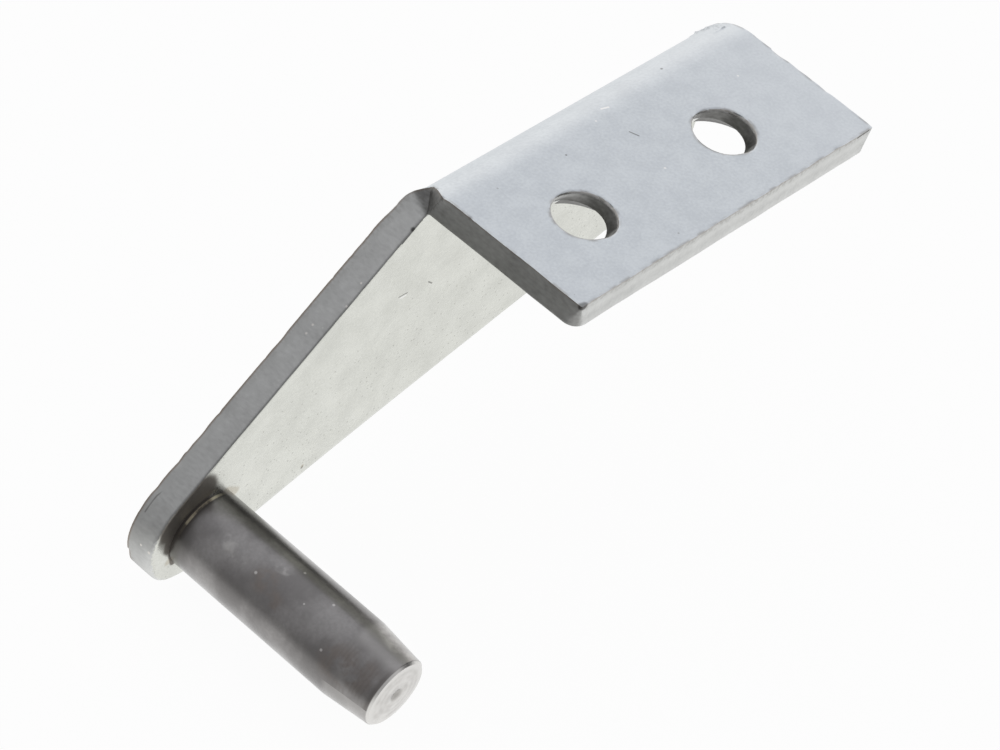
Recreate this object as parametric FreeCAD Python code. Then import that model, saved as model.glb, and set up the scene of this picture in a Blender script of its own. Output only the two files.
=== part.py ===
import FreeCAD, Part
import math
import os

# Oven door hinge: a bracket folded from one steel sheet, with a turned pin riveted into its arm.
# Millimetres. The origin is midway between the two screw holes, on the outer face of the flange.
# +X runs along the fold from the pin's end to the far end, +Z points out of the flange's outer face.
# The arm hangs from the +Y side of the flange, and the pin points to -Y, parallel to the flange.

# Sheet and fold
sheet = 3.0
fold_inside_radius = 0.4
fold_outside_radius = 5.5
fold_clip_turn = 15.0

# Screw flange
flange_length = 41.45
far_end_skew = 0.35
flange_width = 20.5
corner_radius_outside = 0.15
near_corner_radius_inside = 1.5
far_corner_radius_inside = 0.8
hole_diameter = 6.0
hole_pitch = 19.5
hole_from_near_end = 8.9
hole_from_free_edge = 7.6
hole_land = 1.35
hole_roll = 0.35
countersink_angle = 90.0

# Tapered arm
arm_far_depth = 19.2
tip_radius = 5.8
tip_ahead = 0.45
tip_above = 0.3
heel_radius = 0.8

# Edge of the blank that the die rolled over, on the inner side of the fold: wider under the tip
edge_roll = 0.3
tip_roll = 1.0

# Pin and its riveted tenon
pin_reach = 21.1
pin_drop = 29.7
pin_diameter = 8.0
pin_length = 23.85
pin_taper_length = 5.0
pin_end_diameter = 7.0
pin_end_chamfer = 0.25
pin_end_dome = 0.15
dimple_diameter = 1.6
dimple_depth = 0.4
tenon_diameter = 6.0
rivet_flare = 0.7
rivet_crown = 0.25
rivet_slope = 0.7

# Places that follow from the sizes
near_x = -(hole_from_near_end + hole_pitch / 2)
far_x = near_x + flange_length
free_y = -hole_from_free_edge
outer_y = free_y + flange_width
inner_y = outer_y - sheet
pin_x = near_x - pin_reach
pin_z = -pin_drop
tip_x = pin_x - tip_ahead
tip_z = pin_z + tip_above

# The rolls stay within the sheet's thickness and the blank's corners
thickest_roll = 0.4 * sheet
tightest_corner = min(near_corner_radius_inside, far_corner_radius_inside, heel_radius)
roll = min(edge_roll, thickest_roll, 0.75 * tightest_corner)
wide_roll = min(tip_roll, thickest_roll)

# The two halves of the fold meet at half a right angle
half_turn = math.pi / 4

# How far a cutter stands clear of the face that it starts from
clear = 1.0

# Within this distance two places count as the same
same = 1e-4

diagonal = math.sqrt(0.5)


def vector(x, y, z):
    return FreeCAD.Vector(x, y, z)


def line(start, end):
    return Part.LineSegment(start, end).toShape()


def arc(start, middle, end):
    return Part.Arc(start, middle, end).toShape()


def closed_face(edges):
    return Part.Face(Part.Wire(edges))


def polygon_face(points):
    return Part.Face(Part.makePolygon(points + points[:1]))


def fold_point(turn):
    # Point on the outer skin of the fold, turned in radians from the flange towards the arm.
    y = outer_y - fold_outside_radius * (1 - math.sin(turn))
    z = -fold_outside_radius * (1 - math.cos(turn))
    return vector(near_x, y, z)


def inside_fold_point(turn):
    # Point on the inner skin of the fold, with the same turn.
    y = inner_y - fold_inside_radius * (1 - math.sin(turn))
    z = -sheet - fold_inside_radius * (1 - math.cos(turn))
    return vector(near_x, y, z)


def tangent_point(point, centre, radius, side):
    # Where a line from the point touches the circle, in the XZ plane; side is 1 or -1.
    dx = point.x - centre.x
    dz = point.z - centre.z
    distance = math.hypot(dx, dz)
    angle = math.atan2(dz, dx) + side * math.acos(radius / distance)
    return vector(centre.x + radius * math.cos(angle), centre.y, centre.z + radius * math.sin(angle))


def tip_touch_points():
    # The arm's straight edges start at the fold's inside corner and at the foot of the far end.
    centre = vector(tip_x, inner_y, tip_z)
    near_start = vector(near_x, inner_y, -sheet)
    far_start = vector(far_x, inner_y, -arm_far_depth)
    near_touch = tangent_point(near_start, centre, tip_radius, 1)
    far_touch = tangent_point(far_start, centre, tip_radius, -1)
    return near_start, near_touch, far_touch, far_start


def near_edge_x(z):
    # The arm's near edge runs on up through its half of the fold.
    start, touch = tip_touch_points()[:2]
    return start.x + (z - start.z) * (touch.x - start.x) / (touch.z - start.z)


def far_end_trim():
    # The far end was sheared a little out of square: shorter at the free edge than at the fold.
    short = vector(far_x - far_end_skew, free_y, clear)
    full = vector(far_x, inner_y, clear)
    run_on = (short - full) * (clear / flange_width)
    wedge = polygon_face([full, short + run_on, vector(far_x + clear, short.y + run_on.y, clear)])
    return wedge.extrude(vector(0, 0, -sheet - 2 * clear))


def corner_rounded(plate, x, radius_inside):
    # A corner of the blank at the free edge: nearly sharp outside and rounded wide inside.
    boxes = [(edge, edge.BoundBox) for edge in plate.Edges]
    upright = [edge for edge, box in boxes if box.YMax < free_y + same and box.XLength < same]
    corner = [edge for edge in upright if abs(edge.BoundBox.XMin - x) < same][0]
    radii = [radius_inside, corner_radius_outside]
    if corner.valueAt(corner.FirstParameter).z > -sheet / 2:
        radii.reverse()
    return plate.makeFillet(radii[0], radii[1], [corner])


def flange_half():
    # Flat flange with the half of the fold that lies on its side of the corner's diagonal.
    bottom = vector(near_x, free_y, -sheet)
    top = vector(near_x, free_y, 0)
    section = closed_face([
        line(bottom, top),
        line(top, fold_point(0)),
        arc(fold_point(0), fold_point(half_turn / 2), fold_point(half_turn)),
        line(fold_point(half_turn), inside_fold_point(half_turn)),
        arc(inside_fold_point(half_turn), inside_fold_point(half_turn / 2), inside_fold_point(0)),
        line(inside_fold_point(0), bottom),
    ])
    plate = section.extrude(vector(flange_length, 0, 0)).cut(far_end_trim())
    plate = corner_rounded(plate, near_x, near_corner_radius_inside)
    plate = corner_rounded(plate, far_x - far_end_skew, far_corner_radius_inside)
    fold_start = inside_fold_point(0).y - same
    boxes = [(edge, edge.BoundBox) for edge in plate.Edges]
    underside = [(edge, box) for edge, box in boxes if box.ZMax < -sheet + same]
    rolled = [edge for edge, box in underside if box.YMin < fold_start or box.XLength < same]
    return plate.makeFillet(roll, rolled)


def fold_corner_clip():
    # At the near end the fold's corner is clipped from the flange's end to the arm's near edge.
    crown = fold_point(half_turn)
    crown.x = near_edge_x(crown.z)
    foot = vector(near_x, inner_y, -sheet)
    start = fold_point(math.radians(fold_clip_turn))
    normal = (foot - start).cross(crown - start)

    def clip_x(y, z):
        return start.x - (normal.y * (y - start.y) + normal.z * (z - start.z)) / normal.x

    low_y = outer_y - fold_outside_radius - clear
    high_y = outer_y + clear
    low_z = -sheet - clear
    places = [(low_y, low_z), (high_y, low_z), (high_y, clear), (low_y, clear)]
    face = polygon_face([vector(clip_x(y, z), y, z) for y, z in places])
    return face.extrude(vector(-flange_length, 0, 0))


def screw_hole(x):
    # Pierced from above with a rolled rim, and opened from below for a flat-headed screw.
    radius = hole_diameter / 2
    spread = (sheet - hole_land) * math.tan(math.radians(countersink_angle / 2))
    rim = vector(radius + hole_roll, 0, 0)
    bend = vector(radius + hole_roll * (1 - diagonal), 0, -hole_roll * (1 - diagonal))
    wall = vector(radius, 0, -hole_roll)
    waist = vector(radius, 0, -hole_land)
    mouth = vector(radius + spread, 0, -sheet)
    below = vector(radius + spread, 0, -sheet - clear)
    profile = closed_face([
        line(vector(0, 0, clear), vector(rim.x, 0, clear)),
        line(vector(rim.x, 0, clear), rim),
        arc(rim, bend, wall),
        line(wall, waist),
        line(waist, mouth),
        line(mouth, below),
        line(below, vector(0, 0, below.z)),
        line(vector(0, 0, below.z), vector(0, 0, clear)),
    ])
    cutter = profile.revolve(vector(0, 0, 0), vector(0, 0, 1), 360)
    cutter.translate(vector(x, 0, 0))
    return cutter


def arm_outline():
    # Side view of the arm, from above the fold round the tip to the far end.
    near_touch, far_touch, far_start = tip_touch_points()[1:]
    top_left = vector(near_edge_x(clear), inner_y, clear)
    top_right = vector(far_x, inner_y, clear)
    reach = vector(near_touch.x + far_touch.x - 2 * tip_x, 0, near_touch.z + far_touch.z - 2 * tip_z)
    reach.normalize()
    end = vector(tip_x, inner_y, tip_z) + reach * tip_radius
    return closed_face([
        line(top_left, near_touch),
        arc(near_touch, end, far_touch),
        line(far_touch, far_start),
        line(far_start, top_right),
        line(top_right, top_left),
    ])


def arm_half():
    # Tapered arm with its half of the fold.
    low_z = tip_z - tip_radius - clear
    skin = vector(near_x, outer_y, low_z)
    back = vector(near_x, inner_y, low_z)
    section = closed_face([
        arc(fold_point(half_turn), fold_point(1.5 * half_turn), fold_point(2 * half_turn)),
        line(fold_point(2 * half_turn), skin),
        line(skin, back),
        line(back, inside_fold_point(2 * half_turn)),
        arc(inside_fold_point(2 * half_turn), inside_fold_point(1.5 * half_turn),
            inside_fold_point(half_turn)),
        line(inside_fold_point(half_turn), fold_point(half_turn)),
    ])
    span = far_x - tip_x + tip_radius + clear
    band = section.extrude(vector(span, 0, 0))
    band.translate(vector(far_x - span - near_x, 0, 0))
    outline = arm_outline().extrude(vector(0, sheet + clear, 0))
    outline.translate(vector(0, -clear / 2, 0))
    plate = band.common(outline).Solids[0]
    boxes = [(edge, edge.BoundBox) for edge in plate.Edges]
    heel = [edge for edge, box in boxes if box.XMin > far_x - same and box.ZMax < same - arm_far_depth]
    return arm_edge_rolled(plate.makeFillet(heel_radius, heel))


def arm_edge_rolled(plate):
    # The roll on the inner side widens round the tip to its underside, and narrows again to the heel.
    under_tip = tip_touch_points()[2]

    def roll_at(point):
        return wide_roll if point.distanceToPoint(under_tip) < same else roll

    sides = []
    for number, edge in enumerate(plate.Edges, 1):
        if edge.BoundBox.YMax < inner_y + same and edge.BoundBox.ZLength > same:
            first = edge.valueAt(edge.FirstParameter)
            last = edge.valueAt(edge.LastParameter)
            sides.append((number, roll_at(first), roll_at(last)))
    drawing = FreeCAD.newDocument("arm")
    sharp = drawing.addObject("Part::Feature", "sharp")
    sharp.Shape = plate
    rolled = drawing.addObject("Part::Fillet", "rolled")
    rolled.Base = sharp
    rolled.Edges = sides
    drawing.recompute()
    return rolled.Shape.Solids[0]


def tenon_hole():
    # Hole for the pin's tenon, flared at the outer face where the tenon is riveted over.
    radius = tenon_diameter / 2
    hole_start = vector(pin_x, inner_y - clear, pin_z)
    hole = Part.makeCylinder(radius, sheet + 2 * clear, hole_start, vector(0, 1, 0))
    flare_start = vector(pin_x, outer_y - rivet_flare, pin_z)
    flare = Part.makeCone(radius, radius + rivet_flare, rivet_flare, flare_start, vector(0, 1, 0))
    return hole.fuse(flare)


def bracket():
    flange = flange_half().cut(fold_corner_clip())
    for x in (-hole_pitch / 2, hole_pitch / 2):
        flange = flange.cut(screw_hole(x))
    arm = arm_half().cut(tenon_hole())
    return flange.fuse(arm).removeSplitter().Solids[0]


def hinge_pin():
    # Turned about its own axis: riveted head, tenon, shoulder, bearing length, lead-in taper and end.
    radius = pin_diameter / 2
    tenon = tenon_diameter / 2
    head = tenon + rivet_flare
    tip = pin_end_diameter / 2
    dimple = dimple_diameter / 2
    taper_start = pin_length - pin_taper_length
    dome = pin_length + pin_end_dome

    def place(r, along):
        return vector(pin_x + r, inner_y - along, pin_z)

    profile = closed_face([
        line(place(0, -sheet - rivet_crown), place(head - rivet_slope, -sheet - rivet_crown)),
        line(place(head - rivet_slope, -sheet - rivet_crown), place(head, -sheet)),
        line(place(head, -sheet), place(tenon, rivet_flare - sheet)),
        line(place(tenon, rivet_flare - sheet), place(tenon, 0)),
        line(place(tenon, 0), place(radius, 0)),
        line(place(radius, 0), place(radius, taper_start)),
        line(place(radius, taper_start), place(tip, pin_length - pin_end_chamfer)),
        line(place(tip, pin_length - pin_end_chamfer), place(tip - pin_end_chamfer, pin_length)),
        line(place(tip - pin_end_chamfer, pin_length), place(dimple, dome)),
        line(place(dimple, dome), place(0, dome - dimple_depth)),
        line(place(0, dome - dimple_depth), place(0, -sheet - rivet_crown)),
    ])
    return profile.revolve(vector(pin_x, inner_y, pin_z), vector(0, 1, 0), 360)


def main():
    os.makedirs("parts", exist_ok=True)
    pieces = {"bracket": bracket(), "hinge_pin": hinge_pin()}
    for node, shape in pieces.items():
        solid = Part.Solid(shape.Shells[0])
        # A turned profile can come out facing inwards
        if solid.Volume < 0:
            solid.reverse()
        solid.exportStep("parts/" + node + ".step")
        box = solid.BoundBox
        print(node, "valid", solid.isValid(), "volume", round(solid.Volume, 2), "mm3")
        print(node, "from", round(box.XMin, 2), round(box.YMin, 2), round(box.ZMin, 2),
              "to", round(box.XMax, 2), round(box.YMax, 2), round(box.ZMax, 2))


main()
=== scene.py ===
import math
from functools import partial

import bmesh
import bpy
from mathutils import Matrix, Vector, kdtree, noise


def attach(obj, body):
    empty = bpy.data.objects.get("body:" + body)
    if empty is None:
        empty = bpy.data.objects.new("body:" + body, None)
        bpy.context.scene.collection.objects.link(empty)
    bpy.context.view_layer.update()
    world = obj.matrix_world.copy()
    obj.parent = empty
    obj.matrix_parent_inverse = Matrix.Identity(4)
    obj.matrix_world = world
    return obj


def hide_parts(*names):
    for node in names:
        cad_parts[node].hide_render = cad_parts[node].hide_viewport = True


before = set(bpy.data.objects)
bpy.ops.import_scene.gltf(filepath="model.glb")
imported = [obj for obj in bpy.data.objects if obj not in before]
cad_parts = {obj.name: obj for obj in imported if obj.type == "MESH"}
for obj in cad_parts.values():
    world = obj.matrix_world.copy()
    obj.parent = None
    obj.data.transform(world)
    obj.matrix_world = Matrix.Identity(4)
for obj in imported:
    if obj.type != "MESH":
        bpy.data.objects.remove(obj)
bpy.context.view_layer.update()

mm = 0.001
mergeDistance = 0.001 * mm
sharpAngle = 33  # degrees between two faces, from which their edge is drawn sharp
markEdges = (1.3, 0.5)  # where a mark begins and where it is full, in its half widths
smooth = {"interpolation_type": "SMOOTHSTEP"}
colourMix = {"output": 2, "data_type": "RGBA"}  # its colours are sockets 6 and 7, its result is output 2


def linearColour(hexColour):
    channels = [int(hexColour[i:i + 2], 16) / 255 for i in (1, 3, 5)]
    linear = [c / 12.92 if c <= 0.04045 else ((c + 0.055) / 1.055) ** 2.4 for c in channels]
    return (*linear, 1.0)


# adds one node with its settings and links, and gives back one of its outputs
def addNode(tree, kind, inputs, output=0, **settings):
    node = tree.nodes.new("ShaderNode" + kind)
    for name, value in settings.items():
        setattr(node, name, value)
    for name, value in inputs.items():
        if isinstance(value, bpy.types.NodeSocket):
            tree.links.new(value, node.inputs[name])
        else:
            node.inputs[name].default_value = linearColour(value) if isinstance(value, str) else value
    return node.outputs[output] if node.outputs else node


def newMaterial(name):
    material = bpy.data.materials.new(name)
    material.use_nodes = True
    material.node_tree.nodes.clear()
    return material, partial(addNode, material.node_tree)


# object coordinates in millimetres
def placeInMm(add):
    place = add("TexCoord", {}, "Object")
    return add("VectorMath", {0: place, "Scale": 1 / mm}, operation="SCALE")


# specks and short strokes in millimetres: a place, or a start and an end, and then a half width
def markMask(add, place, marks):
    masks = []
    for *path, halfWidth in marks:
        run = Vector(path[-1]) - Vector(path[0])
        away = add("VectorMath", {0: place, 1: path[0]}, operation="SUBTRACT")
        if run.length > 0:
            unit = tuple(run / run.length_squared)
            along = add("VectorMath", {0: away, 1: unit}, "Value", operation="DOT_PRODUCT")
            held = add("Clamp", {"Value": along})
            foot = add("VectorMath", {0: tuple(run), "Scale": held}, operation="SCALE")
            away = add("VectorMath", {0: away, 1: foot}, operation="SUBTRACT")
        far = add("VectorMath", {0: away}, "Value", operation="LENGTH")
        begins, full = markEdges
        edges = {"From Min": begins * halfWidth, "From Max": full * halfWidth}
        masks.append(add("MapRange", {"Value": far, **edges}, **smooth))
    total = masks[0]
    for mask in masks[1:]:
        total = add("Math", {0: total, 1: mask}, operation="MAXIMUM")
    return total


def finishMesh(name, work, materials):
    for face in work.faces:
        face.smooth = True
    for edge in work.edges:
        edge.smooth = edge.calc_face_angle(0) < math.radians(sharpAngle)
    mesh = bpy.data.meshes.new(name)
    work.to_mesh(mesh)
    work.free()
    for material in materials:
        mesh.materials.append(material)
    piece = bpy.data.objects.new(name, mesh)
    bpy.context.scene.collection.objects.link(piece)
    return piece


# 0 below the start, 1 above the stop
def rampUp(value, start, stop):
    return min(1.0, max(0.0, (value - start) / (stop - start)))


# camera, matched to the photograph's edges, holes and pin, in millimetres and degrees
cameraSetup = {
    "place": (-249.503, -134.980, 234.618),
    "aim": (-21.385, -3.560, -10.0),
    "roll": 17.807,
    "lens": 150.083,
    "sensor": 36,
    "nearest": 10,
}
cameraData = bpy.data.cameras.new("photoCamera")
cameraData.lens = cameraSetup["lens"]
cameraData.sensor_width = cameraSetup["sensor"]
cameraData.clip_start = cameraSetup["nearest"] * mm
camera = bpy.data.objects.new("photoCamera", cameraData)
bpy.context.scene.collection.objects.link(camera)
cameraPlace = Vector(cameraSetup["place"]) * mm
lookAlong = Vector(cameraSetup["aim"]) * mm - cameraPlace
upright = lookAlong.to_track_quat("-Z", "Y").to_matrix().to_4x4()
rolled = upright @ Matrix.Rotation(math.radians(cameraSetup["roll"]), 4, "Z")
camera.matrix_world = Matrix.Translation(cameraPlace) @ rolled
bpy.context.scene.camera = camera
print("camera set")

# pale floor just under the tip, a soft sky brighter behind the part, and a dark card beside it
stageSetup = {
    "floorDrop": 35.75,
    "floorSize": 4000,
    "floorColour": "#F4F4F2",
    "whiteShare": 0.96,
    "shadeAlong": (1.0, 0.0, 0.0),
    "shadeRange": (-78, -42),
    "shadeColour": "#A4A4A4",
    "lightFrom": (0.78, 0.45, 0.43),
    "lightRange": (-0.6, 1.1),
    "skyDark": "#AEAEB0",
    "skyBright": "#E1E2E6",
    "glowHeights": (0.75, 0.2),
    "horizonGlow": 0.42,
    "glowColour": "#E5E3E2",
    "cardAt": (0.898, -0.386, 0.209),
    "cardRange": (0.8, 0.93),
    "cardShade": 0.1,
}


def makeFloor(setup):
    material, add = newMaterial("paleStudioFloor")
    place = placeInMm(add)
    # painted shade: for reflections the floor darkens towards the near side, while the camera always sees
    # it white
    across = add("VectorMath", {0: place, 1: setup["shadeAlong"]}, "Value", operation="DOT_PRODUCT")
    shadeFrom, shadeTo = setup["shadeRange"]
    lit = add("MapRange", {"Value": across, "From Min": shadeFrom, "From Max": shadeTo}, **smooth)
    rays = add("LightPath", {}).node.outputs
    lit = add("Math", {0: lit, 1: rays["Is Camera Ray"]}, operation="MAXIMUM")
    colour = add("Mix", {0: lit, 6: setup["shadeColour"], 7: "#FFFFFF"}, **colourMix)
    white = add("Emission", {"Color": colour})
    paint = add("BsdfDiffuse", {"Color": setup["floorColour"]})
    shown = add("Math", {0: rays["Is Camera Ray"], 1: rays["Is Glossy Ray"]}, operation="MAXIMUM")
    shown = add("Math", {0: shown, 1: rays["Is Transmission Ray"]}, operation="MAXIMUM")
    share = add("MapRange", {"Value": shown, "To Max": setup["whiteShare"]})
    mixed = add("MixShader", {0: share, 1: paint, 2: white})
    add("OutputMaterial", {"Surface": mixed})
    work = bmesh.new()
    bmesh.ops.create_grid(work, x_segments=1, y_segments=1, size=setup["floorSize"] * mm / 2)
    bmesh.ops.translate(work, verts=work.verts, vec=(0, 0, -setup["floorDrop"] * mm))
    finishMesh("studioFloor", work, [material])


def makeWorld(setup):
    world = bpy.data.worlds.new("softStudio")
    bpy.context.scene.world = world
    world.use_nodes = True
    world.node_tree.nodes.clear()
    add = partial(addNode, world.node_tree)
    direction = add("TexCoord", {}, "Generated")
    facing = add("VectorMath", {0: direction, 1: setup["lightFrom"]}, "Value", operation="DOT_PRODUCT")
    darkest, brightest = setup["lightRange"]
    lit = add("MapRange", {"Value": facing, "From Min": darkest, "From Max": brightest}, **smooth)
    colour = add("Mix", {0: lit, 6: setup["skyDark"], 7: setup["skyBright"]}, **colourMix)
    height = add("SeparateXYZ", {0: direction}, 2)
    high, low = setup["glowHeights"]
    glow = add("MapRange", {"Value": height, "From Min": high, "From Max": low, "To Max": lit}, **smooth)
    colour = add("Mix", {0: glow, 6: colour, 7: setup["glowColour"]}, **colourMix)
    strength = add("MapRange", {"Value": glow, "To Min": 1.0, "To Max": 1 + setup["horizonGlow"]})
    toCard = add("VectorMath", {0: direction, 1: setup["cardAt"]}, "Value", operation="DOT_PRODUCT")
    edge, middle = setup["cardRange"]
    card = {"From Min": edge, "From Max": middle, "To Min": strength, "To Max": setup["cardShade"]}
    strength = add("MapRange", {"Value": toCard, **card}, **smooth)
    sky = add("Background", {"Color": colour, "Strength": strength})
    add("OutputWorld", {"Surface": sky})


makeFloor(stageSetup)
makeWorld(stageSetup)
bpy.context.scene.view_settings.view_transform = "Standard"
print("stage set")

# folded bracket, in millimetres and degrees
# a depth is a share of the sheet, from its outer to its inner side
bracketSetup = {
    "sheet": 3.0,
    "outerY": 12.9,
    "freeY": -7.6,
    "farX": 22.8,
    "foldRadius": 5.5,
    "foldEnd": -4.2,
    "armFrom": 9.0,
    "tip": (-40.2, -29.4),
    "tipRadius": 5.8,
    "holes": (-9.75, 9.75),
    "holeRadius": 3.0,
    "holeRoll": 0.34,
    "holeLand": 1.35,
    "cell": 0.3,
    "armCell": 1.0,
    "cutSlope": 0.6,
    "rolledSlope": 0.8,
    "edgeDepth": 0.08,
    "nickDepth": 0.16,
    "nickSink": 0.6,
    "nickNoise": ((0.55, 0.12), (1.7, 0.25)),
    "nicksAt": (4.9, 9.1, 14.6, 17.0),
    "nickHalf": 0.5,
    "nickShare": 0.5,
    "nearNicks": 2.2,
    "waviness": 0.05,
    "wavesPerMm": 0.28,
    "waveShift": (7, 3, 1),
    "burr": 0.2,
    "burrRun": 2.6,
    "burrEnds": 0.4,
    "burrFacing": (0.45, 0.97),
    "burrDepth": 0.1,
    "burrLeast": 0.4,
    "burrsPerMm": 2.3,
    "foldCorner": (-18.7, 12.4, -2.4),
    "cornerSpread": 0.36,
    "cornerReach": 2.3,
    "cornerDepth": 0.6,
    "farEdgeOut": (0.249, 0.0, -0.969),
    "farEdgeReach": 24.28,
    "farEdgeFade": (1.0, 0.3),
    "farEdgeSpread": (0.15, 0.35),
    "farEdgeRun": (0, 35),
    "tipSpread": 0.45,
    "tipSpreadTurn": -118,
    "tipSpreadHalf": 45,
    "tipFade": (1.6, 0.8),
    "leanFrom": 0.3,
    "holeLean": (-0.3, 0.6),
    "leanReach": 2.0,
    "sharpRimReach": 1.0,
    "sharpRimStart": (70, 105),
    "sharpRimStop": (255, 285),
}


# the sheet's outward direction at a place, and the place's depth in the sheet
def sheetPlace(place, setup):
    centre = Vector((0, setup["outerY"] - setup["foldRadius"], -setup["foldRadius"]))
    if place.y < centre.y:
        return Vector((0, 0, 1)), -place.z / setup["sheet"]
    if place.z < centre.z:
        return Vector((0, 1, 0)), (setup["outerY"] - place.y) / setup["sheet"]
    out = Vector((0, place.y - centre.y, place.z - centre.z))
    distance = max(out.length, 0.01)  # never zero, at the fold's own centre
    out = out / distance
    inner = (setup["foldRadius"] - setup["sheet"]) / max(out.y, out.z)
    return out, (setup["foldRadius"] - distance) / (setup["foldRadius"] - inner)


# fine cells on the flange, the fold and the edges, so that wear can move them
def gridCuts(work, setup):
    low = [min(v.co[i] for v in work.verts) / mm for i in range(3)]
    high = [max(v.co[i] for v in work.verts) / mm for i in range(3)]
    runs = [
        (0, low[0], high[0], setup["cell"]),
        (1, low[1], high[1], setup["cell"]),
        (2, setup["foldEnd"], high[2], setup["cell"]),
        (2, low[2], setup["foldEnd"], setup["armCell"]),
    ]
    for axis, start, stop, step in runs:
        normal = Vector((axis == 0, axis == 1, axis == 2))
        for i in range(1, math.ceil((stop - start) / step)):
            geometry = work.verts[:] + work.edges[:] + work.faces[:]
            cut = normal * (start + i * step) * mm
            bmesh.ops.bisect_plane(work, geom=geometry, dist=0.1 * mergeDistance, plane_co=cut,
                                   plane_no=normal)


# whether a face is sheared: on the near side with the rolled edge, and on the fold all that faces there
def isCut(normal, out, setup):
    onFold = out.y > 0.05 and out.z > 0.05
    if onFold and normal.x < -0.25:
        return True
    return abs(normal.dot(out)) < (setup["rolledSlope"] if normal.x < -0.3 else setup["cutSlope"])


# how far a place's own wear moves it, in millimetres
def wear(place, out, depth, onCut, cutNormal, setup):
    move = Vector((0, 0, 0))
    if onCut and depth < setup["edgeDepth"]:
        # small nicks along the sharp outer edge, with a finer ragged line between them
        nick = sum(max(0.0, noise.noise(place * perMm) - least) for perMm, least in setup["nickNoise"])
        if place.y < setup["freeY"] + setup["cell"]:
            notches = [max(0.0, 1 - abs(place.x - x) / setup["nickHalf"]) for x in setup["nicksAt"]]
            nick += setup["nickShare"] * sum(notches)
        onNearEnd = cutNormal.x < -0.5 and place.z > -1
        if onNearEnd:
            nick *= setup["nearNicks"]
        move -= (cutNormal + setup["nickSink"] * out) * setup["nickDepth"] * nick
    if onCut:
        wave = noise.noise(place * setup["wavesPerMm"] + Vector(setup["waveShift"]))
        move += cutNormal * setup["waviness"] * wave
    # the fold's ragged burr at the far end
    fromEnd = setup["farX"] - place.x
    ends = setup["burrEnds"] * setup["burrRun"]
    burr = rampUp(-fromEnd, -setup["burrRun"], ends - setup["burrRun"]) * rampUp(fromEnd, 0, ends)
    least, most = setup["burrFacing"]
    if depth < setup["burrDepth"] and least < out.y < most:
        ragged = setup["burrLeast"] + noise.noise(place * setup["burrsPerMm"])
        move += out * setup["burr"] * burr * ragged
    # the corner of the fold stands out at the near end
    far = (place - Vector(setup["foldCorner"])).length / setup["cornerReach"]
    if far < 1 and depth < setup["cornerDepth"]:
        move += out * setup["cornerSpread"] * (0.5 + 0.5 * math.cos(math.pi * far))
    if place.y > setup["armFrom"]:
        # the arm's long far edge is spread by the shear
        farOut = Vector(setup["farEdgeOut"])
        start, full = setup["farEdgeFade"]
        share = rampUp(place.dot(farOut), setup["farEdgeReach"] - start, setup["farEdgeReach"] - full)
        least, most = setup["farEdgeSpread"]
        move += farOut * share * (least + (most - least) * rampUp(-place.x, *setup["farEdgeRun"]))
        # the tip is spread at its foot
        tip = Vector((place.x - setup["tip"][0], 0, place.z - setup["tip"][1]))
        start, full = setup["tipFade"]
        rise = rampUp(tip.length, setup["tipRadius"] - start, setup["tipRadius"] - full)
        turn = math.degrees(math.atan2(tip.z, tip.x))
        share = max(0.0, 1 - abs(turn - setup["tipSpreadTurn"]) / setup["tipSpreadHalf"])
        move += tip.normalized() * setup["tipSpread"] * rise * share * share * (3 - 2 * share)
    for holeX in setup["holes"]:
        radius = math.hypot(place.x - holeX, place.y)
        # the holes lean a little below their rim
        inLean = -setup["sheet"] < place.z < -setup["leanFrom"]
        if inLean and radius < setup["holeRadius"] + setup["leanReach"]:
            down = rampUp(-place.z, setup["leanFrom"], setup["holeLand"])
            up = rampUp(setup["sheet"] + place.z, 0, setup["sheet"] - setup["holeLand"])
            move += Vector((*setup["holeLean"], 0)) * min(down, up)
        # their rim is sharper on the side that the punch met last
        if radius < setup["holeRadius"] + setup["sharpRimReach"] and place.z > -setup["holeRoll"]:
            turn = math.degrees(math.atan2(place.y, place.x - holeX)) % 360
            sharper = rampUp(turn, *setup["sharpRimStart"]) * (1 - rampUp(turn, *setup["sharpRimStop"]))
            move.z -= place.z * sharper
    return move


# tones of the sheared faces, from 0 dark to 1 bright, with painted light and shade in them,
# and the depths, facings, turns and heights between which they change
toneSetup = {
    # the hole walls are dark and darker deeper down, painted shade, with a painted lit side and a painted
    # highlight along the rim
    "hole": (0.21, 0.17),
    "holeReach": 2.0,
    "holeLight": 0.52,
    "holeLightTurn": (40, 84),
    "holeLightRun": 55,
    "holeLightDepth": (0.22, 0.34),
    "holeShade": 0.12,
    "holeShadeFrom": 0.2,
    "holeEdgeHighlight": 0.9,
    "holeEdgeHighlightDepth": (0.02, 0.11),
    "borderDrop": 0.1,
    "borderSlope": 0.28,
    "borderHalf": 0.15,
    "arm": 0.72,
    "armFall": 0.08,
    "armFallRun": (5, 24),
    # painted reflection of the pale floor on the arm's faces that turn down
    "underArmReflection": 0.12,
    "underArmFacing": (0, 0.5),
    "innerFloorReflection": 0.26,
    "innerFloorReflectionFacing": (-0.3, 0.1),
    "innerFloorReflectionDepth": (0.5, 0.95),
    # painted shadow line where the near side meets the inner face
    "innerShadowLine": 0.45,
    "innerShadowLineDepth": (0.92, 0.99),
    # painted shade of the near end where it runs round the fold
    "fold": 0.21,
    "shadedNearEnd": 0.38,
    "shadedNearEndFall": 0.17,
    "nearEndUpward": (0.1, 0.4),
    "nearEndOutward": (0.1, 0.35),
    "nearEndFacing": (0.2, 0.6),
    "free": 0.9,
    "freeBand": 0.05,
    "freeBandDepth": 0.15,
    "freeBandSize": 0.6,
}
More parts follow.
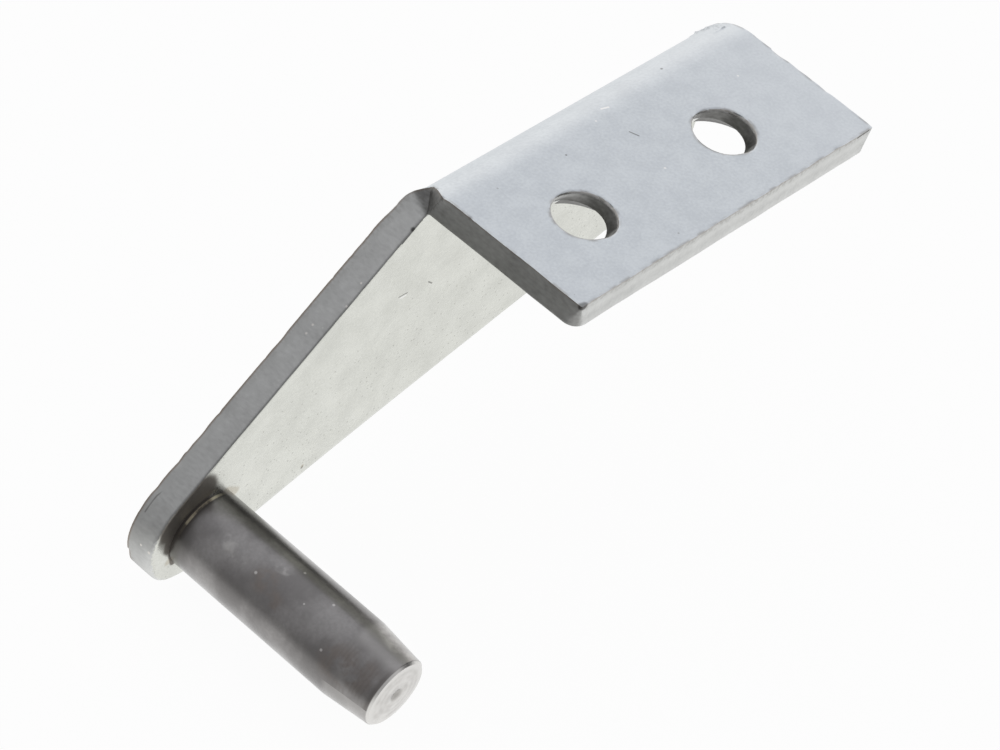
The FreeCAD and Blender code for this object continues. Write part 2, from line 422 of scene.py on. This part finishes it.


# tone of a sheared face: painted shade at the near end, grey along the arm, bright along the free edge
def edgeTone(place, depth, normal, setup, tones):
    # painted shade on the hole walls, darker deeper down, with a painted lit side and a painted highlight
    # along the rim
    for holeX, lightTurn, base in zip(setup["holes"], tones["holeLightTurn"], tones["hole"]):
        away = Vector((place.x - holeX, place.y))
        if away.length < setup["holeRadius"] + tones["holeReach"]:
            turn = math.degrees(math.atan2(away.y, away.x))
            turn = turn + 360 if turn < -60 else turn
            light = tones["holeLight"] * rampUp(turn, lightTurn, lightTurn + tones["holeLightRun"])
            light *= 1 - rampUp(depth, *tones["holeLightDepth"])
            tone = base + light - tones["holeShade"] * (depth - tones["holeShadeFrom"])
            return tone + (tones["holeEdgeHighlight"] - tone) * (1 - rampUp(depth, *tones["holeEdgeHighlightDepth"]))
    innerY = setup["outerY"] - setup["sheet"]
    border = -tones["borderDrop"] - setup["sheet"] + tones["borderSlope"] * (place.y - innerY)
    below = border - place.z
    half = tones["borderHalf"]
    if below > -half and place.y > innerY - 0.5:
        # the arm's edge greys towards the tip, with a painted shadow line where its near side meets the
        # inner face, and painted reflection of the pale floor on its faces that turn down
        tone = tones["arm"] - tones["armFall"] * rampUp(-place.z, *tones["armFallRun"])
        tone += tones["underArmReflection"] * rampUp(-normal.z, *tones["underArmFacing"])
        pale = rampUp(-normal.z, *tones["innerFloorReflectionFacing"]) * rampUp(depth, *tones["innerFloorReflectionDepth"])
        tone += tones["innerFloorReflection"] * pale
        if normal.x < -0.2 and normal.z > 0.2:
            tone -= tones["innerShadowLine"] * rampUp(depth, *tones["innerShadowLineDepth"])
        # above the border is the near end on the fold, in painted shade
        return tones["fold"] + (tone - tones["fold"]) * rampUp(below, -half, half)
    bands = math.sin(2 * math.pi * (depth - tones["freeBandDepth"]) / tones["freeBandSize"])
    free = tones["free"] + tones["freeBand"] * bands
    # painted shade on the near end, deeper on its facets that turn up or outwards
    turned = max(rampUp(normal.z, *tones["nearEndUpward"]), rampUp(normal.y, *tones["nearEndOutward"]))
    shadedNearEnd = tones["shadedNearEnd"] - tones["shadedNearEndFall"] * turned
    share = rampUp(-normal.x, *tones["nearEndFacing"])
    return shadedNearEnd * share + free * (1 - share)


def makeBracket(setup):
    work = bmesh.new()
    work.from_mesh(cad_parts["bracket"].data)
    bmesh.ops.remove_doubles(work, verts=work.verts, dist=mergeDistance)
    bmesh.ops.dissolve_limit(work, angle_limit=math.radians(0.3), verts=work.verts, edges=work.edges)
    gridCuts(work, setup)
    bmesh.ops.triangulate(work, faces=[face for face in work.faces if len(face.verts) > 4])
    work.normal_update()
    depthLayer = work.verts.layers.float.new("depth")
    rimLayer = work.verts.layers.float.new("rim")
    toneLayer = work.verts.layers.float.new("tone")
    for face in work.faces:
        place = face.calc_center_median() / mm
        out, depth = sheetPlace(place, setup)
        face.material_index = int(isCut(face.normal, out, setup))
    outline = []
    moves = []
    for vert in work.verts:
        place = vert.co / mm
        out, depth = sheetPlace(place, setup)
        cuts = [face.normal for face in vert.link_faces if face.material_index == 1]
        cutNormal = sum(cuts, Vector((0, 0, 0))).normalized() if cuts else Vector((0, 0, 0))
        vert[depthLayer] = depth
        vert[toneLayer] = edgeTone(place, depth, cutNormal, setup, toneSetup)
        if 0 < len(cuts) < len(vert.link_faces) and depth < setup["edgeDepth"]:
            outline.append(place)
        moves.append(wear(place, out, depth, bool(cuts), cutNormal, setup))
    nearest = kdtree.KDTree(len(outline))
    for i, place in enumerate(outline):
        nearest.insert(place, i)
    nearest.balance()
    for vert, move in zip(work.verts, moves):
        vert[rimLayer] = nearest.find(vert.co / mm)[2]
        vert.co += move * mm
    work.normal_update()
    print("bracket", len(work.faces), "faces")
    piece = finishMesh("bracketSheet", work, [zincMaterial(zincFinish), edgeMaterial(edgeFinish)])
    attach(piece, "root")
    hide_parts("bracket")


# dull zinc plating, sizes in millimetres; marks have a colour, a share and their places
zincFinish = {
    "outside": ("#D0D5D9", "#E0E5E8"),
    # painted light towards the far end
    "farLitOutside": "#E8ECEF",
    "farLightShare": 0.25,
    "farLightRun": (4.0, 24.0),
    "inside": ("#D3D4CD", "#E2E3DC"),
    "cloudSize": 2.6,
    "grainSize": 0.3,
    "grainShare": 0.45,
    "pitSpacing": 0.53,
    "pitSize": 0.24,
    "pitColour": "#6A665E",
    "pitShare": 0.32,
    "pitsAlong": (0.24, 0.0, -0.97),
    "pitsRun": (7.0, 17.0),
    "pitsOften": (0.01, 0.7),
    "wornColour": "#8E887F",
    "wornShare": 0.45,
    "wornWidth": (0.35, 0.05),
    "wornBreakSize": 1.2,
    "shadeAndStainColour": "#665D55",
    "shadeAndStainShare": 0.8,
    "shadeAndStainRaggedSize": 0.8,
    # painted shade and reflection of the pin, partly real oily dirt, by its foot
    "shadeAndStain": (
        ((-43.6, 9.9, -27.3), (-41.2, 9.9, -24.4), 2.05),
        ((-43.7, 9.9, -28.2), (-43.5, 9.9, -29.8), 1.05),
        ((-43.5, 9.9, -29.8), (-42.6, 9.9, -32.2), 0.6),
    ),
    "marks": (
        ("#55524E", 0.7, (
            ((2.15, 4.98, 0.0), (2.48, 4.13, 0.0), 0.07),
            ((11.7, 9.2, -0.3), 0.14),
            ((-5.2, 6.2, 0.0), 0.1),
            ((-19.2, 9.9, -12.8), (-18.1, 9.9, -12.85), 0.08),
            ((-15.2, 9.9, -13.1), (-14.6, 9.9, -13.6), 0.08),
            ((-18.6, -7.5, 0.0), (-18.2, -7.6, 0.0), 0.42),
            ((-26.9, 9.9, -30.0), 0.18),
        )),
        ("#F8F8F6", 1.0, (
            ((2.4, 8.6, -0.1), (3.1, 8.35, -0.1), 0.12),
            ((0.6, 7.7, 0.0), 0.11),
            ((16.9, 4.3, 0.0), 0.12),
            ((1.26, -0.08, 0.0), 0.13),
            ((-18.9, 9.9, -13.1), (-18.2, 9.9, -13.1), 0.08),
        )),
        ("#A99C82", 0.45, (
            ((-37.5, 9.9, -26.5), (-36.2, 9.9, -27.3), 0.55),
            ((-26.9, 9.9, -29.8), 0.2),
            ((-43.45, 9.9, -31.9), 0.45),
        )),
    ),
    "roughness": (0.3, 0.46),
    "insideRoughness": 0.27,
    "shadeAndStainRoughness": 0.6,
    "grainHeight": 0.02,
    "waveSize": 3.0,
    "waveHeight": 0.1,
}


# light grey, dull and faintly blue outside and warmer inside, with specks, pits, and by the pin's foot a
# dark patch of painted shade and reflection of the pin, partly real oily dirt
def zincMaterial(finish):
    material, add = newMaterial("dullZincPlatedSteel")
    place = placeInMm(add)
    depth = add("Attribute", {}, "Fac", attribute_name="depth")
    rim = add("Attribute", {}, "Fac", attribute_name="rim")
    inner = add("MapRange", {"Value": depth, "From Min": 0.4, "From Max": 0.6}, **smooth)
    cloud = add("TexNoise", {"Vector": place, "Scale": 1 / finish["cloudSize"], "Detail": 4.0})
    grain = add("TexNoise", {"Vector": place, "Scale": 1 / finish["grainSize"], "Detail": 2.0})
    mottle = add("Mix", {0: finish["grainShare"], 2: cloud, 3: grain})
    mottle = add("MapRange", {"Value": mottle, "From Min": 0.3, "From Max": 0.7}, **smooth)
    outside = add("Mix", {0: mottle, 6: finish["outside"][0], 7: finish["outside"][1]}, **colourMix)
    # painted light: the outside is a little paler towards the far end
    start, stop = finish["farLightRun"]
    farLightRun = {"Value": add("SeparateXYZ", {0: place}, "X"), "From Min": start, "From Max": stop}
    farLightShare = add("MapRange", {**farLightRun, "To Max": finish["farLightShare"]}, **smooth)
    outside = add("Mix", {0: farLightShare, 6: outside, 7: finish["farLitOutside"]}, **colourMix)
    inside = add("Mix", {0: mottle, 6: finish["inside"][0], 7: finish["inside"][1]}, **colourMix)
    colour = add("Mix", {0: inner, 6: outside, 7: inside}, **colourMix)
    # pits lie thicker towards the arm's far edge
    cells = add("TexVoronoi", {"Vector": place, "Scale": 1 / finish["pitSpacing"]}).node.outputs
    chance = add("SeparateColor", {0: cells["Color"]}).node.outputs
    lowness = add("VectorMath", {0: place, 1: finish["pitsAlong"]}, "Value", operation="DOT_PRODUCT")
    start, stop = finish["pitsRun"]
    rare, common = finish["pitsOften"]
    often = {"From Min": start, "From Max": stop, "To Min": rare, "To Max": common}
    often = add("MapRange", {"Value": lowness, **often}, **smooth)
    picked = add("Math", {0: chance[0], 1: often}, operation="LESS_THAN")
    pitSize = add("Math", {0: chance[1], 1: finish["pitSize"]}, operation="MULTIPLY")
    pits = add("Math", {0: cells["Distance"], 1: pitSize}, operation="LESS_THAN")
    pits = add("Math", {0: pits, 1: picked}, operation="MULTIPLY")
    share = add("Math", {0: pits, 1: finish["pitShare"]}, operation="MULTIPLY")
    colour = add("Mix", {0: share, 6: colour, 7: finish["pitColour"]}, **colourMix)
    for markColour, most, marks in finish["marks"]:
        share = add("MapRange", {"Value": markMask(add, place, marks), "To Max": most})
        colour = add("Mix", {0: share, 6: colour, 7: markColour}, **colourMix)
    # thin brownish worn line, broken, along the sharp outer edges
    broken = add("TexNoise", {"Vector": place, "Scale": 1 / finish["wornBreakSize"]})
    broken = {"Value": broken, "From Min": 0.4, "From Max": 0.65, "To Max": finish["wornShare"]}
    worn = add("MapRange", broken, **smooth)
    begins, full = finish["wornWidth"]
    worn = add("MapRange", {"Value": rim, "From Min": begins, "From Max": full, "To Max": worn}, **smooth)
    worn = add("MapRange", {"Value": inner, "From Min": 1.0, "From Max": 0.0, "To Max": worn})
    colour = add("Mix", {0: worn, 6: colour, 7: finish["wornColour"]}, **colourMix)
    # painted shade and reflection of the pin, partly real oily dirt, between the pin's foot and the near
    # edge
    ragged = add("TexNoise", {"Vector": place, "Scale": 1 / finish["shadeAndStainRaggedSize"], "Detail": 2.0})
    ragged = add("MapRange", {"Value": ragged, "To Min": 0.35, "To Max": 0.65})
    shadeAndStain = add("Math", {0: markMask(add, place, finish["shadeAndStain"]), 1: ragged}, operation="ADD")
    shadeAndStain = {"Value": shadeAndStain, "From Min": 0.6, "From Max": 1.25, "To Max": finish["shadeAndStainShare"]}
    shadeAndStain = add("MapRange", shadeAndStain, **smooth)
    colour = add("Mix", {0: shadeAndStain, 6: colour, 7: finish["shadeAndStainColour"]}, **colourMix)
    rough = {"Value": cloud, "To Min": finish["roughness"][0], "To Max": finish["roughness"][1]}
    rough = add("MapRange", rough)
    rough = add("Mix", {0: inner, 2: rough, 3: finish["insideRoughness"]})
    rough = add("Mix", {0: shadeAndStain, 2: rough, 3: finish["shadeAndStainRoughness"]})
    height = add("Math", {0: pits, 1: -0.5}, operation="MULTIPLY")
    height = add("Math", {0: height, 1: grain}, operation="ADD")
    bump = add("Bump", {"Strength": 0.25, "Distance": finish["grainHeight"] * mm, "Height": height})
    wave = add("TexNoise", {"Vector": place, "Scale": 1 / finish["waveSize"], "Detail": 1.0})
    wave = {"Strength": 0.12, "Distance": finish["waveHeight"] * mm, "Height": wave}
    bump = add("Bump", {**wave, "Normal": bump})
    surface = {"Base Color": colour, "Metallic": 1.0, "Roughness": rough, "Normal": bump}
    add("OutputMaterial", {"Surface": add("BsdfPrincipled", surface)})
    return material


# sheared steel, sizes in millimetres; marks have a colour, a share and their places
edgeFinish = {
    "tones": ("#3A3834", "#E2E3E1"),
    "lineSize": 0.3,
    "lineStretch": (1.0, 0.45, 0.9),
    "lineShade": 0.13,
    "lineHeight": 0.04,
    "patchSize": 2.2,
    "patchShade": 0.1,
    "bandColour": "#6B6860",
    "bandShare": 0.3,
    "bandDepth": (0.4, 0.2),
    "bandTone": (0.5, 0.8),
    "bandRaggedSize": 0.7,
    "rimColour": "#80684F",
    "rimDepth": 0.1,
    "rimShare": (0.3, 0.65),
    "rimHeights": (-3.0, -5.0),
    "marks": (
        ("#F0ECE6", 0.9, (
            ((-29.73, 11.39, -12.5), 0.15),
            ((-29.03, 11.44, -11.9), 0.14),
            ((-28.76, 10.53, -11.67), 0.1),
            ((-24.89, 10.46, -8.35), 0.12),
            ((-26.68, 10.1, -9.89), 0.12),
            ((-46.0, 10.3, -29.42), 0.16),
            ((-46.0, 11.33, -29.32), 0.13),
        )),
        ("#2E2C2A", 0.8, (
            ((-19.99, 9.95, -4.15), 0.25),
            ((-27.91, 9.95, -10.95), 0.14),
            ((-36.82, 9.95, -18.58), 0.16),
            ((20.2, -7.6, -0.18), (21.9, -7.6, -0.12), 0.1),
            ((-18.65, -7.5, -0.15), (-18.2, -7.6, -0.15), 0.34),
        )),
        ("#3A322C", 0.45, (
            ((-42.98, 12.0, -23.85), (-44.09, 12.33, -25.1), 0.08),
            ((-44.09, 12.33, -25.1), (-45.19, 12.35, -26.45), 0.08),
        )),
    ),
    "roughness": 0.44,
}


# rough sheared steel: fine lines across the thickness, a ragged grey band under the outer edge, pale specks
def edgeMaterial(finish):
    material, add = newMaterial("shearedSteelEdge")
    place = placeInMm(add)
    depth = add("Attribute", {}, "Fac", attribute_name="depth")
    tone = add("Attribute", {}, "Fac", attribute_name="tone")
    stretched = add("VectorMath", {0: place, 1: finish["lineStretch"]}, operation="MULTIPLY")
    lines = add("TexNoise", {"Vector": stretched, "Scale": 1 / finish["lineSize"], "Detail": 3.0})
    patches = add("TexNoise", {"Vector": place, "Scale": 1 / finish["patchSize"]})
    shade = tone
    for pattern, most in ((lines, finish["lineShade"]), (patches, finish["patchShade"])):
        change = add("MapRange", {"Value": pattern, "To Min": -most, "To Max": most})
        shade = add("Math", {0: shade, 1: change}, operation="ADD")
    colour = add("Mix", {0: shade, 6: finish["tones"][0], 7: finish["tones"][1]}, **colourMix)
    # a ragged grey band under the bright outer edges
    ragged = add("TexNoise", {"Vector": place, "Scale": 1 / finish["bandRaggedSize"]})
    ragged = add("Mix", {0: 0.25, 2: depth, 3: ragged})
    band = {"Value": lines, "From Min": 0.42, "From Max": 0.62, "To Max": finish["bandShare"]}
    band = add("MapRange", band, **smooth)
    for value, (begins, full) in ((ragged, finish["bandDepth"]), (tone, finish["bandTone"])):
        band = {"Value": value, "From Min": begins, "From Max": full, "To Max": band}
        band = add("MapRange", band, **smooth)
    colour = add("Mix", {0: band, 6: colour, 7: finish["bandColour"]}, **colourMix)
    # brownish line at the outer edge, stronger on the arm
    upper, lower = finish["rimHeights"]
    faint, strong = finish["rimShare"]
    rim = {"From Min": upper, "From Max": lower, "To Min": faint, "To Max": strong}
    rim = add("MapRange", {"Value": add("SeparateXYZ", {0: place}, "Z"), **rim})
    rim = {"Value": depth, "From Min": finish["rimDepth"], "From Max": 0.0, "To Max": rim}
    rim = add("MapRange", rim, **smooth)
    colour = add("Mix", {0: rim, 6: colour, 7: finish["rimColour"]}, **colourMix)
    for markColour, most, marks in finish["marks"]:
        share = add("MapRange", {"Value": markMask(add, place, marks), "To Max": most})
        colour = add("Mix", {0: share, 6: colour, 7: markColour}, **colourMix)
    bump = add("Bump", {"Strength": 0.3, "Distance": finish["lineHeight"] * mm, "Height": lines})
    surface = {"Base Color": colour, "Metallic": 1.0, "Roughness": finish["roughness"], "Normal": bump}
    add("OutputMaterial", {"Surface": add("BsdfPrincipled", surface)})
    return material


# turned pin, in millimetres
# a mark's place is its distance from the arm's inner face and its degrees about the axis
pinSetup = {
    "axis": (-39.75, -29.7),
    "foot": 9.9,
    "radius": 4.0,
    "base": ("#686462", "#8C8987"),
    "cloudSize": 4.5,
    "raggedSize": 1.3,
    "grimeColour": "#524E4A",
    "grimeSize": 0.35,
    "brownColour": "#70645B",
    "smearColour": "#B4B1AD",
    "ringColour": "#50473F",
    "ringSpacing": 0.4,
    "rubbedColour": "#DAD8D4",
    "paleColour": "#C9C6C2",
    "speckColour": "#E6E3DE",
    "footColour": "#3E3833",
    "goldColour": "#EADFC4",
    "goldBreakSize": 1.5,
    "rimColour": "#4A433D",
    "endFace": ("#B8B5B0", "#DCDAD6"),
    "dimpleColour": "#9A9792",
    "scratchSize": 0.5,
    "scratchHeight": 0.04,
    "marks": {
        "brown": (((9.4, 128), 1.3), ((11.1, 142), 1.1), ((19.2, 148), (21.5, 140), 1.8)),
        "smear": (((8.6, 106), (10.2, 100), 0.5), ((4.5, 120), (6.5, 130), 0.7)),
        "taperHighlight": (((20.4, 66), (21.6, 72), 0.9), ((19.8, 50), (23.0, 56), 1.0)),
        "specks": (
            ((8.33, 127.7), 0.15),
            ((11.36, 84.2), 0.13),
            ((15.46, 93), 0.14),
            ((17.47, 147.4), 0.14),
            ((13.59, 118), 0.09),
        ),
        # painted shade at the pin's foot
        "shaded": (((0.5, 52), (3.0, 56), 1.7), ((0.4, 150), (0.8, 185), 1.5)),
    },
}


def pinPoint(along, turn, setup):
    angle = math.radians(turn)
    x = setup["axis"][0] + setup["radius"] * math.cos(angle)
    z = setup["axis"][1] + setup["radius"] * math.sin(angle)
    return (x, setup["foot"] - along, z)


# dark grey oiled steel: brown mottling, soft pale smears, faint turned rings and a bright end
def pinMaterial(setup):
    material, add = newMaterial("darkTurnedSteel")
    place = placeInMm(add)
    masks = {}
    for name, marks in setup["marks"].items():
        onPin = [(*(pinPoint(*at, setup) for at in path), halfWidth) for *path, halfWidth in marks]
        masks[name] = markMask(add, place, onPin)
    centre = (setup["axis"][0], setup["foot"], setup["axis"][1])
    local = add("VectorMath", {0: place, 1: centre}, operation="SUBTRACT")
    split = add("SeparateXYZ", {0: local}).node.outputs
    along = add("Math", {0: split[1], 1: -1.0}, operation="MULTIPLY")
    turn = add("Math", {0: split[2], 1: split[0]}, operation="ARCTAN2")
    turn = add("Math", {0: turn}, operation="DEGREES")
    flat = add("VectorMath", {0: local, 1: (1.0, 0.0, 1.0)}, operation="MULTIPLY")
    radius = add("VectorMath", {0: flat}, "Value", operation="LENGTH")
    cloud = add("TexNoise", {"Vector": place, "Scale": 1 / setup["cloudSize"], "Detail": 4.0})
    patches = add("MapRange", {"Value": cloud, "From Min": 0.38, "From Max": 0.64}, **smooth)
    colour = add("Mix", {0: patches, 6: setup["base"][0], 7: setup["base"][1]}, **colourMix)
    # brown patches, three of them where the photograph shows them
    ragged = add("TexNoise", {"Vector": place, "Scale": 1 / setup["raggedSize"], "Detail": 4.0})
    brown = {"Value": ragged, "From Min": 0.35, "From Max": 0.6, "To Max": masks["brown"]}
    brown = add("MapRange", brown, **smooth)
    brown = add("MapRange", {"Value": brown, "To Max": 0.75})
    colour = add("Mix", {0: brown, 6: colour, 7: setup["brownColour"]}, **colourMix)
    grime = add("TexNoise", {"Vector": place, "Scale": 1 / setup["grimeSize"], "Detail": 2.0})
    grime = add("MapRange", {"Value": grime, "From Min": 0.3, "From Max": 0.7, "To Max": 0.2}, **smooth)
    colour = add("Mix", {0: grime, 6: colour, 7: setup["grimeColour"]}, **colourMix)
    # pale smears
    smear = {"Value": ragged, "From Min": 0.45, "From Max": 0.7, "To Max": masks["smear"]}
    smear = add("MapRange", smear, **smooth)
    smear = add("MapRange", {"Value": smear, "To Max": 0.75})
    colour = add("Mix", {0: smear, 6: colour, 7: setup["smearColour"]}, **colourMix)
    # brown turned rings on the taper's lower half, drawn coarser than real ones so that they show
    wavePeriod = 0.314  # spacing of a wave texture at a scale of 1
    rings = {"Vector": local, "Scale": wavePeriod / setup["ringSpacing"], "Distortion": 5.0, "Detail": 3.0}
    rings = add("TexWave", rings, "Fac", bands_direction="Y")
    ringed = {"Value": rings, "From Min": 0.3, "From Max": 0.8, "To Min": 0.12, "To Max": 0.32}
    ringed = add("MapRange", ringed, **smooth)
    for value, begins, full in ((ragged, 0.3, 0.62), (along, 17.5, 20.0), (turn, 95.0, 130.0)):
        ringed = {"Value": value, "From Min": begins, "From Max": full, "To Max": ringed}
        ringed = add("MapRange", ringed, **smooth)
    colour = add("Mix", {0: ringed, 6: colour, 7: setup["ringColour"]}, **colourMix)
    # painted highlight on the taper's upper side
    taperHighlight = {"Value": ragged, "From Min": 0.3, "From Max": 0.6, "To Max": masks["taperHighlight"]}
    taperHighlight = add("MapRange", taperHighlight, **smooth)
    taperHighlight = add("MapRange", {"Value": taperHighlight, "To Max": 0.6})
    colour = add("Mix", {0: taperHighlight, 6: colour, 7: setup["rubbedColour"]}, **colourMix)
    # painted light: the taper's upper side is paler all over
    paler = add("MapRange", {"Value": along, "From Min": 18.6, "From Max": 19.4, "To Max": 0.3}, **smooth)
    paler = add("MapRange", {"Value": turn, "From Min": 118.0, "From Max": 98.0, "To Max": paler}, **smooth)
    colour = add("Mix", {0: paler, 6: colour, 7: setup["paleColour"]}, **colourMix)
    specks = add("MapRange", {"Value": masks["specks"], "To Max": 0.6})
    colour = add("Mix", {0: specks, 6: colour, 7: setup["speckColour"]}, **colourMix)
    # painted shade at the foot, with a broken golden line just above it
    foot = add("MapRange", {"Value": along, "From Min": 1.0, "From Max": 0.5, "To Max": 0.8}, **smooth)
    shaded = add("MapRange", {"Value": masks["shaded"], "To Max": 0.75})
    foot = add("Math", {0: foot, 1: shaded}, operation="MAXIMUM")
    foot = add("MapRange", {"Value": along, "From Min": -1.0, "From Max": -0.5, "To Max": foot})
    colour = add("Mix", {0: foot, 6: colour, 7: setup["footColour"]}, **colourMix)
    broken = add("TexNoise", {"Vector": place, "Scale": 1 / setup["goldBreakSize"], "Detail": 3.0})
    broken = {"Value": broken, "From Min": 0.43, "From Max": 0.57, "To Min": 0.12, "To Max": 1.0}
    gold = add("MapRange", broken, **smooth)
    goldEnds = ((along, 0.18, 0.3), (along, 0.56, 0.44), (turn, 60.0, 95.0), (turn, 165.0, 145.0))
    for value, begins, full in goldEnds:
        gold = {"Value": value, "From Min": begins, "From Max": full, "To Max": gold}
        gold = add("MapRange", gold, **smooth)
    colour = add("Mix", {0: gold, 6: colour, 7: setup["goldColour"]}, **colourMix)
    # dark line just behind the end's rim, on the near side
    rim = add("MapRange", {"Value": along, "From Min": 23.0, "From Max": 23.45, "To Max": 0.7}, **smooth)
    rim = add("MapRange", {"Value": turn, "From Min": 100.0, "From Max": 125.0, "To Max": rim}, **smooth)
    colour = add("Mix", {0: rim, 6: colour, 7: setup["rimColour"]}, **colourMix)
    # bright end face with soft turning marks
    circles = add("Math", {0: radius, 1: 9.0}, operation="MULTIPLY")
    circles = add("Math", {0: circles}, operation="SINE")
    endTone = add("Mix", {0: 0.06, 2: ragged, 3: circles})
    endTone = add("MapRange", {"Value": endTone, "From Min": 0.2, "From Max": 0.75}, **smooth)
    endTone = {"Value": radius, "From Min": 2.4, "From Max": 3.3, "To Min": endTone}
    endTone = add("MapRange", endTone, **smooth)
    endColour = add("Mix", {0: endTone, 6: setup["endFace"][0], 7: setup["endFace"][1]}, **colourMix)
    dimple = add("MapRange", {"Value": radius, "From Min": 0.8, "From Max": 0.45, "To Max": 0.8}, **smooth)
    endColour = add("Mix", {0: dimple, 6: endColour, 7: setup["dimpleColour"]}, **colourMix)
    end = add("MapRange", {"Value": along, "From Min": 23.6, "From Max": 23.7}, **smooth)
    colour = add("Mix", {0: end, 6: colour, 7: endColour}, **colourMix)
    # fine scratches along the pin
    scratched = add("VectorMath", {0: local, 1: (1.0, 0.25, 1.0)}, operation="MULTIPLY")
    scratches = add("TexNoise", {"Vector": scratched, "Scale": 1 / setup["scratchSize"], "Detail": 3.0})
    height = add("Mix", {0: 0.06, 2: scratches, 3: rings})
    bump = add("Bump", {"Strength": 0.25, "Distance": setup["scratchHeight"] * mm, "Height": height})
    rough = add("MapRange", {"Value": patches, "To Min": 0.36, "To Max": 0.29})
    surface = {"Base Color": colour, "Metallic": 1.0, "Roughness": rough, "Normal": bump}
    oil = {"Coat Weight": 0.8, "Coat Roughness": 0.26, "Coat IOR": 2.2}
    add("OutputMaterial", {"Surface": add("BsdfPrincipled", {**surface, **oil})})
    return material


def makePin(setup):
    work = bmesh.new()
    work.from_mesh(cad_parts["hinge_pin"].data)
    bmesh.ops.remove_doubles(work, verts=work.verts, dist=mergeDistance)
    piece = finishMesh("turnedPin", work, [pinMaterial(setup)])
    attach(piece, "root")
    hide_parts("hinge_pin")


makeBracket(bracketSetup)
makePin(pinSetup)
print("pieces made")
